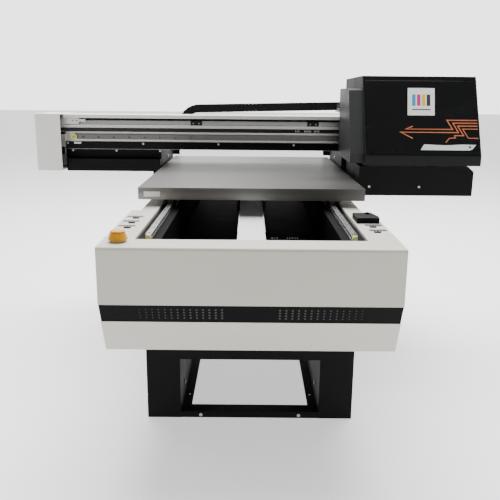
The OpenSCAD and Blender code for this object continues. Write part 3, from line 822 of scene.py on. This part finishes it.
class PRINTER_OT_chain(Operator):
    """Cable chain: upper run, and the loop with its lower run"""

    bl_idname = "printer.chain"
    bl_label = "Cable chain"

    link_height = 0.032
    bend_radius = 0.068
    bend_links = 14
    run_rise = 0.014
    run_length = 0.570
    roll_travel = 0.4805
    joining_link = 0.010

    def execute(self, context):
        self.pitch = sizes().link_pitch
        low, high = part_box("chain_loop")
        self.near, self.far = low.y, high.y
        self.bend_x = low.x + self.bend_radius + self.link_height / 2
        self.low_z = low.z + self.link_height / 2
        self.top_z = self.low_z + 2 * self.bend_radius
        self.loop(round((high.x - self.bend_x) / self.pitch))
        self.upper_run()
        return {"FINISHED"}

    def link(self, bm, place, length):
        """One link: stepped side plates, their pins, and a crossbar above and below."""
        half, tall = length / 2, self.link_height / 2
        verts = []
        for edge, inward in ((self.near, 1), (self.far, -1)):
            outer, mid, inner = edge, edge + inward * 0.0034, edge + inward * 0.0066
            for y0, y1, x0, x1, z in (
                (outer, mid, -half + 0.0004, half - 0.0004, tall),
                (mid, inner, -half - 0.0035, half * 0.55, tall - 0.0045),
            ):
                a, b = min(y0, y1), max(y0, y1)
                verts += add_box(bm, (x0, a, -z), (x1, b, z))
            pin = (0.0, outer + inward * 0.0004, 0.0)
            verts += add_disc(bm, pin, (0, -inward, 0), 0.0034, 0.0008, 12)
        for z0, z1 in ((tall - 0.0036, tall - 0.0004), (-tall + 0.0004, -tall + 0.0036)):
            corner = (-half * 0.72, self.near + 0.0030, z0)
            verts += add_box(bm, corner, (half * 0.72, self.far - 0.0030, z1))
        bmesh.ops.transform(bm, matrix=place, verts=verts)

    def loop(self, low_links):
        """The half turn and the lower run, which roll along together."""
        bm = bmesh.new()
        step = math.pi / self.bend_links
        chord = 2 * self.bend_radius * math.sin(step / 2)
        reach = self.bend_radius * math.cos(step / 2)
        middle = Matrix.Translation((self.bend_x, 0, self.low_z + self.bend_radius))
        for k in range(self.bend_links):
            turn = Matrix.Rotation(-(k + 0.5) * step, 4, "Y")
            self.link(bm, middle @ turn @ Matrix.Translation((0, 0, reach)), chord)
        x = self.bend_x + self.joining_link / 2
        self.link(bm, Matrix.Translation((x, 0, self.top_z)), self.joining_link)
        for k in range(low_links):
            x = self.bend_x + (k + 0.5) * self.pitch
            self.link(bm, Matrix.Translation((x, 0, self.low_z)), self.pitch)
        made = piece("chain_loop_links", bm, "black_plastic", "chain_loop", 0.0005)
        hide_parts("chain_loop")

    def upper_run(self):
        """The run up to the carriage, which rides on the carriage."""
        bm = bmesh.new()
        slope = math.atan(self.run_rise / self.run_length)
        start = self.bend_x + self.joining_link
        base = Matrix.Translation((start, 0, self.top_z)) @ Matrix.Rotation(-slope, 4, "Y")
        for k in range(round(self.run_length / self.pitch)):
            place = base @ Matrix.Translation(((k + 0.5) * self.pitch, 0, 0))
            self.link(bm, place, self.pitch)
        made = piece("chain_upper_links", bm, "black_plastic", "carriage", 0.0005)
        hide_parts("chain_upper_run")
        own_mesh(made)


class PRINTER_OT_carriage(Operator):
    """Print carriage: covers, lamp pod, heads, stripes and plates"""

    bl_idname = "printer.carriage"
    bl_label = "Carriage"

    def execute(self, context):
        dress(["carriage_housing"], "housing_black", 0.0016, 3)
        dress(["carriage_front_cover"], "carriage_black", 0.0016, 3)
        dress(["lamp_pod"], "pod_black", 0.004, 3)
        dress(["carriage_plate"], "bracket_steel", 0.0010)
        dress(["head_plate"], "head_steel", 0.0008)
        dress(["print_heads"], "head_body", 0.0010)
        self.low, self.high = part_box("carriage_front_cover")
        self.slope()
        self.raised_panel()
        self.plate()
        self.stripes()
        self.blade()
        self.bracket()
        self.screws()
        return {"FINISHED"}

    def slope(self):
        """The sloping front face: its foot, its way up and its outward direction."""
        run, rise = 0.128, 0.264
        length = math.hypot(run, rise)
        self.foot = Vector((0, self.low.y, 0.755))
        self.uphill = Vector((0, run / length, rise / length))
        self.outward = Vector((0, -rise / length, run / length))

    def on_slope(self, x, up, lift=0.0):
        """A point on the sloping face."""
        return self.foot + Vector((x, 0, 0)) + self.uphill * up + self.outward * lift

    def patch(self, bm, corners, base, thick):
        """A flat patch on the sloping face from its [x, up] corners."""
        add_outline(bm, [self.on_slope(x, up, base) for x, up in corners], self.outward * thick)

    def raised_panel(self):
        """A shallow raised field on the front with a rounded lower left corner."""
        left, right, foot, top, round_ = self.low.x + 0.006, self.high.x - 0.0015, 0.010, 0.276, 0.018
        corners = [(right, foot), (right, top), (left, top)]
        for k in range(9):
            angle = math.pi + k * math.pi / 16
            x = left + round_ + round_ * math.cos(angle)
            corners.append((x, foot + round_ + round_ * math.sin(angle)))
        bm = bmesh.new()
        self.patch(bm, corners, -0.0005, 0.0020)
        made = piece("front_field", bm, "carriage_black", "carriage", 0, 20)
        soften(made, 0.0011, 3)

    def plate(self):
        """A white plate with a plain row of ink bars."""
        bm = bmesh.new()
        self.patch(bm, [(0.534, 0.147), (0.627, 0.147), (0.632, 0.248), (0.539, 0.248)], 0.0015, 0.0006)
        piece("front_plate", bm, "white_vinyl", "carriage", 0.0002)
        for k, finish in enumerate(("ink_cyan", "ink_magenta", "ink_yellow", "dark_print")):
            x = 0.5510 + 0.0168 * k
            bm = bmesh.new()
            bar = [(x, 0.182), (x + 0.012, 0.182), (x + 0.014, 0.224), (x + 0.002, 0.224)]
            self.patch(bm, bar, 0.0020, 0.0003)
            piece("plate_ink_%d" % k, bm, finish, "carriage")
        bm = bmesh.new()
        self.patch(bm, [(0.550, 0.166), (0.614, 0.166), (0.6142, 0.170), (0.5502, 0.170)], 0.0020, 0.0003)
        piece("plate_rule", bm, "dark_print", "carriage")

    def line(self, bm, path, width):
        """A stripe of even width along a path of [x, up] points."""
        points = [Vector(p) for p in path]
        left, right = [], []
        for k, point in enumerate(points):
            before = (point - points[k - 1]).normalized() if k else None
            after = (points[k + 1] - point).normalized() if k < len(points) - 1 else None
            way = ((before or after) + (after or before)).normalized()
            side = Vector((-way.y, way.x))
            straight = after or before
            reach = width / 2 / max(0.35, abs(side.dot(Vector((-straight.y, straight.x)))))
            left.append(point + side * reach)
            right.append(point - side * reach)
        for k in range(len(points) - 1):
            corners = [left[k], left[k + 1], right[k + 1], right[k]]
            self.patch(bm, [(c.x, c.y) for c in corners], 0.0015, 0.0003)

    def stripes(self):
        """Orange stripes: a double shaft with an open arrow tip, and nested zigzags to the right."""
        wide = sizes().stripe_width
        edge = self.high.x - 0.004
        bm = bmesh.new()
        for path, width in (
            ([(0.550, 0.107), (0.526, 0.0965), (0.686, 0.0965), (0.668, 0.130), (edge, 0.130)], wide),
            ([(0.548, 0.063), (0.508, 0.085), (0.705, 0.085), (0.688, 0.1195), (edge, 0.1195)], wide),
            ([(0.690, 0.074), (0.722, 0.074), (0.704, 0.109), (edge, 0.109)], wide),
            ([(edge, 0.065), (0.738, 0.065), (0.720, 0.098), (edge, 0.098)], wide * 0.8),
            ([(0.690, 0.074), (0.694, 0.066), (0.673, 0.064), (0.660, 0.049)], wide * 0.8),
        ):
            self.line(bm, path, width)
        piece("front_stripes", bm, "orange_vinyl", "carriage")

    def blade(self):
        """Bright handle plate low on the right with a dark lock in it."""
        corners = [
            (0.573, 0.021),
            (0.741, 0.021),
            (0.750, 0.025),
            (0.763, 0.041),
            (0.715, 0.0415),
            (0.660, 0.0385),
            (0.625, 0.0395),
            (0.586, 0.0415),
        ]
        bm = bmesh.new()
        self.patch(bm, corners, 0.0013, 0.0010)
        piece("front_blade", bm, "silver_print", "carriage", 0.0003)
        bm = bmesh.new()
        add_disc(bm, self.on_slope(0.741, 0.0325, 0.0020), self.outward, 0.0050, 0.0009, 4)
        piece("front_lock", bm, "dark_print", "carriage", 0.0002)

    def bracket(self):
        """Small bare bracket with screws where the cable chain meets the carriage."""
        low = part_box("chain_upper_run")[0]
        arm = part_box("carriage_plate")[0].x
        bm = bmesh.new()
        add_box(bm, (arm + 0.001, low.y - 0.0080, 0.886), (arm + 0.032, low.y - 0.0061, 0.900))
        piece("chain_bracket", bm, "blade_metal", "carriage", 0.0003)
        bm = bmesh.new()
        for x in (arm + 0.008, arm + 0.024):
            add_disc(bm, (x, low.y - 0.0096, 0.893), (0, 1, 0), 0.0026, 0.0018, 18)
            add_disc(bm, (x, low.y - 0.0078, 0.909), (0, 1, 0), 0.0026, 0.0018, 18)
        piece("chain_bracket_screws", bm, "steel_screws", "carriage")

    def screws(self):
        """Screws on the pod, the right side wall and the back of the housing."""
        bm = bmesh.new()
        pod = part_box("lamp_pod")[0].x
        for y, z in ((0.268, 0.748), (0.268, 0.860), (0.268, 0.950), (0.03, 0.748)):
            add_disc(bm, (pod - 0.0010, y, z), (1, 0, 0), 0.0034, 0.0016, 20)
        front = Vector((pod + 0.020, 0.0049, 0.805))
        way = Vector((0, -0.210, 0.093)).normalized()
        add_disc(bm, front - way * 0.0006, way, 0.0030, 0.0014, 20)
        add_disc(bm, (pod + 0.020, -0.0158, 0.748), (0, 1, 0), 0.0030, 0.0014, 20)
        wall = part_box("carriage_housing")[1]
        for y, z in ((0.02, 0.745), (0.25, 0.745), (0.13, 0.98), (0.44, 0.98), (0.44, 0.91)):
            add_disc(bm, (wall.x - 0.0016, y, z), (1, 0, 0), 0.0038, 0.0016, 20)
        for x in (0.43, 0.59, 0.75):
            for z in (0.90, 0.99):
                add_disc(bm, (x, wall.y - 0.0016, z), (0, 1, 0), 0.0038, 0.0016, 20)
        piece("housing_screws", bm, "dark_screws", "carriage", 0.0003)


class PRINTER_OT_stage(Operator):
    """Pale floor, soft light and the camera"""

    bl_idname = "printer.stage"
    bl_label = "Stage"

    def execute(self, context):
        self.floor()
        self.light("key_light", (0.2, 1.3, 4.2), (0.0, 0.3, 0.3), 4.0, 520.0)
        self.light("side_light", (-3.2, -2.6, 2.2), (0.0, 0.0, 0.7), 2.0, 2.0)
        self.world()
        self.camera()
        return {"FINISHED"}

    def floor(self):
        """A large pale floor."""
        bm = bmesh.new()
        add_box(bm, (-30, -30, -0.02), (30, 30, 0.0))
        finish = Finish("floor_paint", (0.90, 0.90, 0.90), 0.7, Emission_Strength=0.85)
        finish.shader.inputs["Emission Color"].default_value = (1.0, 1.0, 1.0, 1.0)
        finish.shade(finish.ramp(finish.noise(0.6, 2.0), 0.4, 0.7) * 0.3, (0.88, 0.88, 0.88))
        piece("floor", bm, "floor_paint", None)

    def light(self, name, place, aim, size, power):
        """A square soft box."""
        data = bpy.data.lights.new(name, "AREA")
        data.shape = "SQUARE"
        data.size = size
        data.energy = power
        made = bpy.data.objects.new(name, data)
        made.location = place
        made.rotation_euler = (Vector(aim) - Vector(place)).to_track_quat("-Z", "Y").to_euler()
        bpy.context.scene.collection.objects.link(made)

    def world(self):
        """A soft surround that is brightest behind the machine."""
        world = bpy.data.worlds.new("studio")
        bpy.context.scene.world = world
        world.use_nodes = True
        tree = world.node_tree
        background = tree.nodes["Background"]
        background.inputs[1].default_value = 1.0
        coords = tree.nodes.new("ShaderNodeTexCoord")
        split = tree.nodes.new("ShaderNodeSeparateXYZ")
        tree.links.new(coords.outputs["Generated"], split.inputs[0])
        behind = tree.nodes.new("ShaderNodeMapRange")
        behind.interpolation_type = "SMOOTHSTEP"
        behind.inputs["From Min"].default_value = 0.35
        behind.inputs["From Max"].default_value = 0.80
        behind.inputs["To Min"].default_value = 0.14
        behind.inputs["To Max"].default_value = 3.0
        tree.links.new(split.outputs[1], behind.inputs["Value"])
        tree.links.new(behind.outputs[0], background.inputs[0])

    def camera(self):
        """Stands in front at head height and looks a little down."""
        data = bpy.data.cameras.new("camera")
        data.sensor_width = 36.0
        data.lens = 45.74
        data.clip_end = 200.0
        made = bpy.data.objects.new("camera", data)
        bpy.context.scene.collection.objects.link(made)
        pitch, yaw, roll = (math.radians(a) for a in (13.949, 0.053, 0.516))
        ahead = Vector(
            (math.sin(yaw) * math.cos(pitch), math.cos(yaw) * math.cos(pitch), -math.sin(pitch))
        )
        right = Vector((math.cos(yaw), -math.sin(yaw), 0))
        up = right.cross(ahead)
        side = right * math.cos(roll) + up * math.sin(roll)
        top = up * math.cos(roll) - right * math.sin(roll)
        turn = Matrix((side, top, -ahead)).transposed().to_4x4()
        made.matrix_world = Matrix.Translation((-0.005, -2.20, 0.960)) @ turn
        bpy.context.scene.camera = made


OPERATORS = (
    PRINTER_OT_finishes,
    PRINTER_OT_pedestal,
    PRINTER_OT_cabinet,
    PRINTER_OT_controls,
    PRINTER_OT_bed,
    PRINTER_OT_gantry,
    PRINTER_OT_station,
    PRINTER_OT_chain,
    PRINTER_OT_carriage,
    PRINTER_OT_stage,
)


class PRINTER_PT_panel(Panel):
    """Lists the printer's groups and their settings"""

    bl_idname = "PRINTER_PT_panel"
    bl_label = "UV Printer"
    bl_space_type = "VIEW_3D"
    bl_region_type = "UI"
    bl_category = "UV Printer"

    def draw(self, context):
        for group in (context.scene.printer_sizes, context.scene.printer_colours):
            for name in group.__annotations__:
                self.layout.prop(group, name)
        for operator in OPERATORS:
            self.layout.operator(operator.bl_idname)


CLASSES = (PrinterSizes, PrinterColours, *OPERATORS, PRINTER_PT_panel)


def register():
    """Adds the classes and the scene's settings."""
    for cls in CLASSES:
        bpy.utils.register_class(cls)
    bpy.types.Scene.printer_sizes = PointerProperty(type=PrinterSizes)
    bpy.types.Scene.printer_colours = PointerProperty(type=PrinterColours)


def unregister():
    """Takes them away again."""
    del bpy.types.Scene.printer_colours
    del bpy.types.Scene.printer_sizes
    for cls in reversed(CLASSES):
        bpy.utils.unregister_class(cls)


def main():
    """Builds everything in order."""
    register()
    for operator in OPERATORS:
        group, name = operator.bl_idname.split(".")
        getattr(getattr(bpy.ops, group), name)()


if __name__ == "__main__":
    main()
